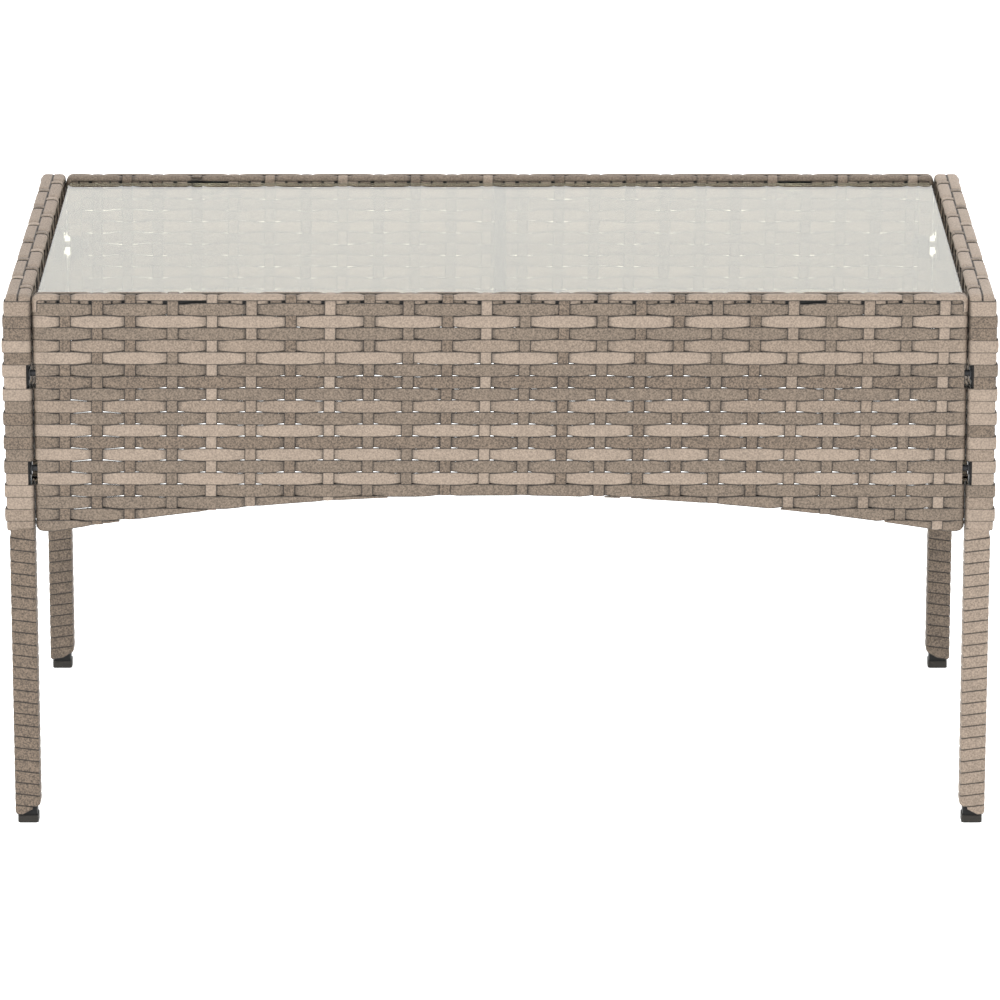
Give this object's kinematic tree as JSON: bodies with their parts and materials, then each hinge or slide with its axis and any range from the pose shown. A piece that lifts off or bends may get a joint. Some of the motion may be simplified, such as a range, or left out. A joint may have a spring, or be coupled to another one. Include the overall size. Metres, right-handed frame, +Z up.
{
  "type": "wicker coffee table",
  "caption": "Low rectangular outdoor coffee table: wicker-wrapped steel tube frame, arched woven aprons, loose glass top resting on clear suction pads.",
  "frame": {"origin": "on the floor under the middle of the table", "axes": "+X along the table to the right, +Y to the back, +Z up"},
  "size_m": [0.79, 0.44, 0.438],
  "materials": {
    "frame_tube": "satin charcoal powder coat",
    "wicker": "pebbled flat polyethylene strand in mixed beige and brown-grey",
    "foot": "matt moulded",
    "fastener": "black oxide",
    "glass": "clear tempered, polished pale green edge",
    "clear_pad": "clear soft vinyl"
  },
  "bodies": {
    "frame": {"bolt_washers": "fastener", "frame_bolts": "fastener", "front_arch_tube": "frame_tube", "front_arch_wrap": "wicker", "front_centre_strut": "frame_tube", "front_left_end_tube": "frame_tube", "front_left_end_wrap": "wicker", "front_left_pad": "clear_pad", "front_right_end_tube": "frame_tube", "front_right_end_wrap": "wicker", "front_right_pad": "clear_pad", "front_top_rail_tube": "frame_tube", "front_top_rail_wrap": "wicker", "front_weave_sheet": "wicker", "left_front_foot": "foot", "left_front_leg_tube": "frame_tube", "left_front_leg_wrap": "wicker", "left_lower_rail_tube": "frame_tube", "left_lower_rail_wrap": "wicker", "left_rear_foot": "foot", "left_rear_leg_tube": "frame_tube", "left_rear_leg_wrap": "wicker", "left_top_rail_tube": "frame_tube", "left_top_rail_wrap": "wicker", "left_weave_sheet": "wicker", "rear_arch_tube": "frame_tube", "rear_arch_wrap": "wicker", "rear_centre_strut": "frame_tube", "rear_left_end_tube": "frame_tube", "rear_left_end_wrap": "wicker", "rear_left_pad": "clear_pad", "rear_right_end_tube": "frame_tube", "rear_right_end_wrap": "wicker", "rear_right_pad": "clear_pad", "rear_top_rail_tube": "frame_tube", "rear_top_rail_wrap": "wicker", "rear_weave_sheet": "wicker", "right_front_foot": "foot", "right_front_leg_tube": "frame_tube", "right_front_leg_wrap": "wicker", "right_lower_rail_tube": "frame_tube", "right_lower_rail_wrap": "wicker", "right_rear_foot": "foot", "right_rear_leg_tube": "frame_tube", "right_rear_leg_wrap": "wicker", "right_top_rail_tube": "frame_tube", "right_top_rail_wrap": "wicker", "right_weave_sheet": "wicker", "rivet_nuts": "fastener"},
    "glass": {"glass_top": "glass"}
  },
  "joints": [
    {"name": "glass_lift", "type": "slide", "parent": "frame", "child": "glass", "axis": [0, 0, 1], "range_m": [0, 0.12]}
  ]
}
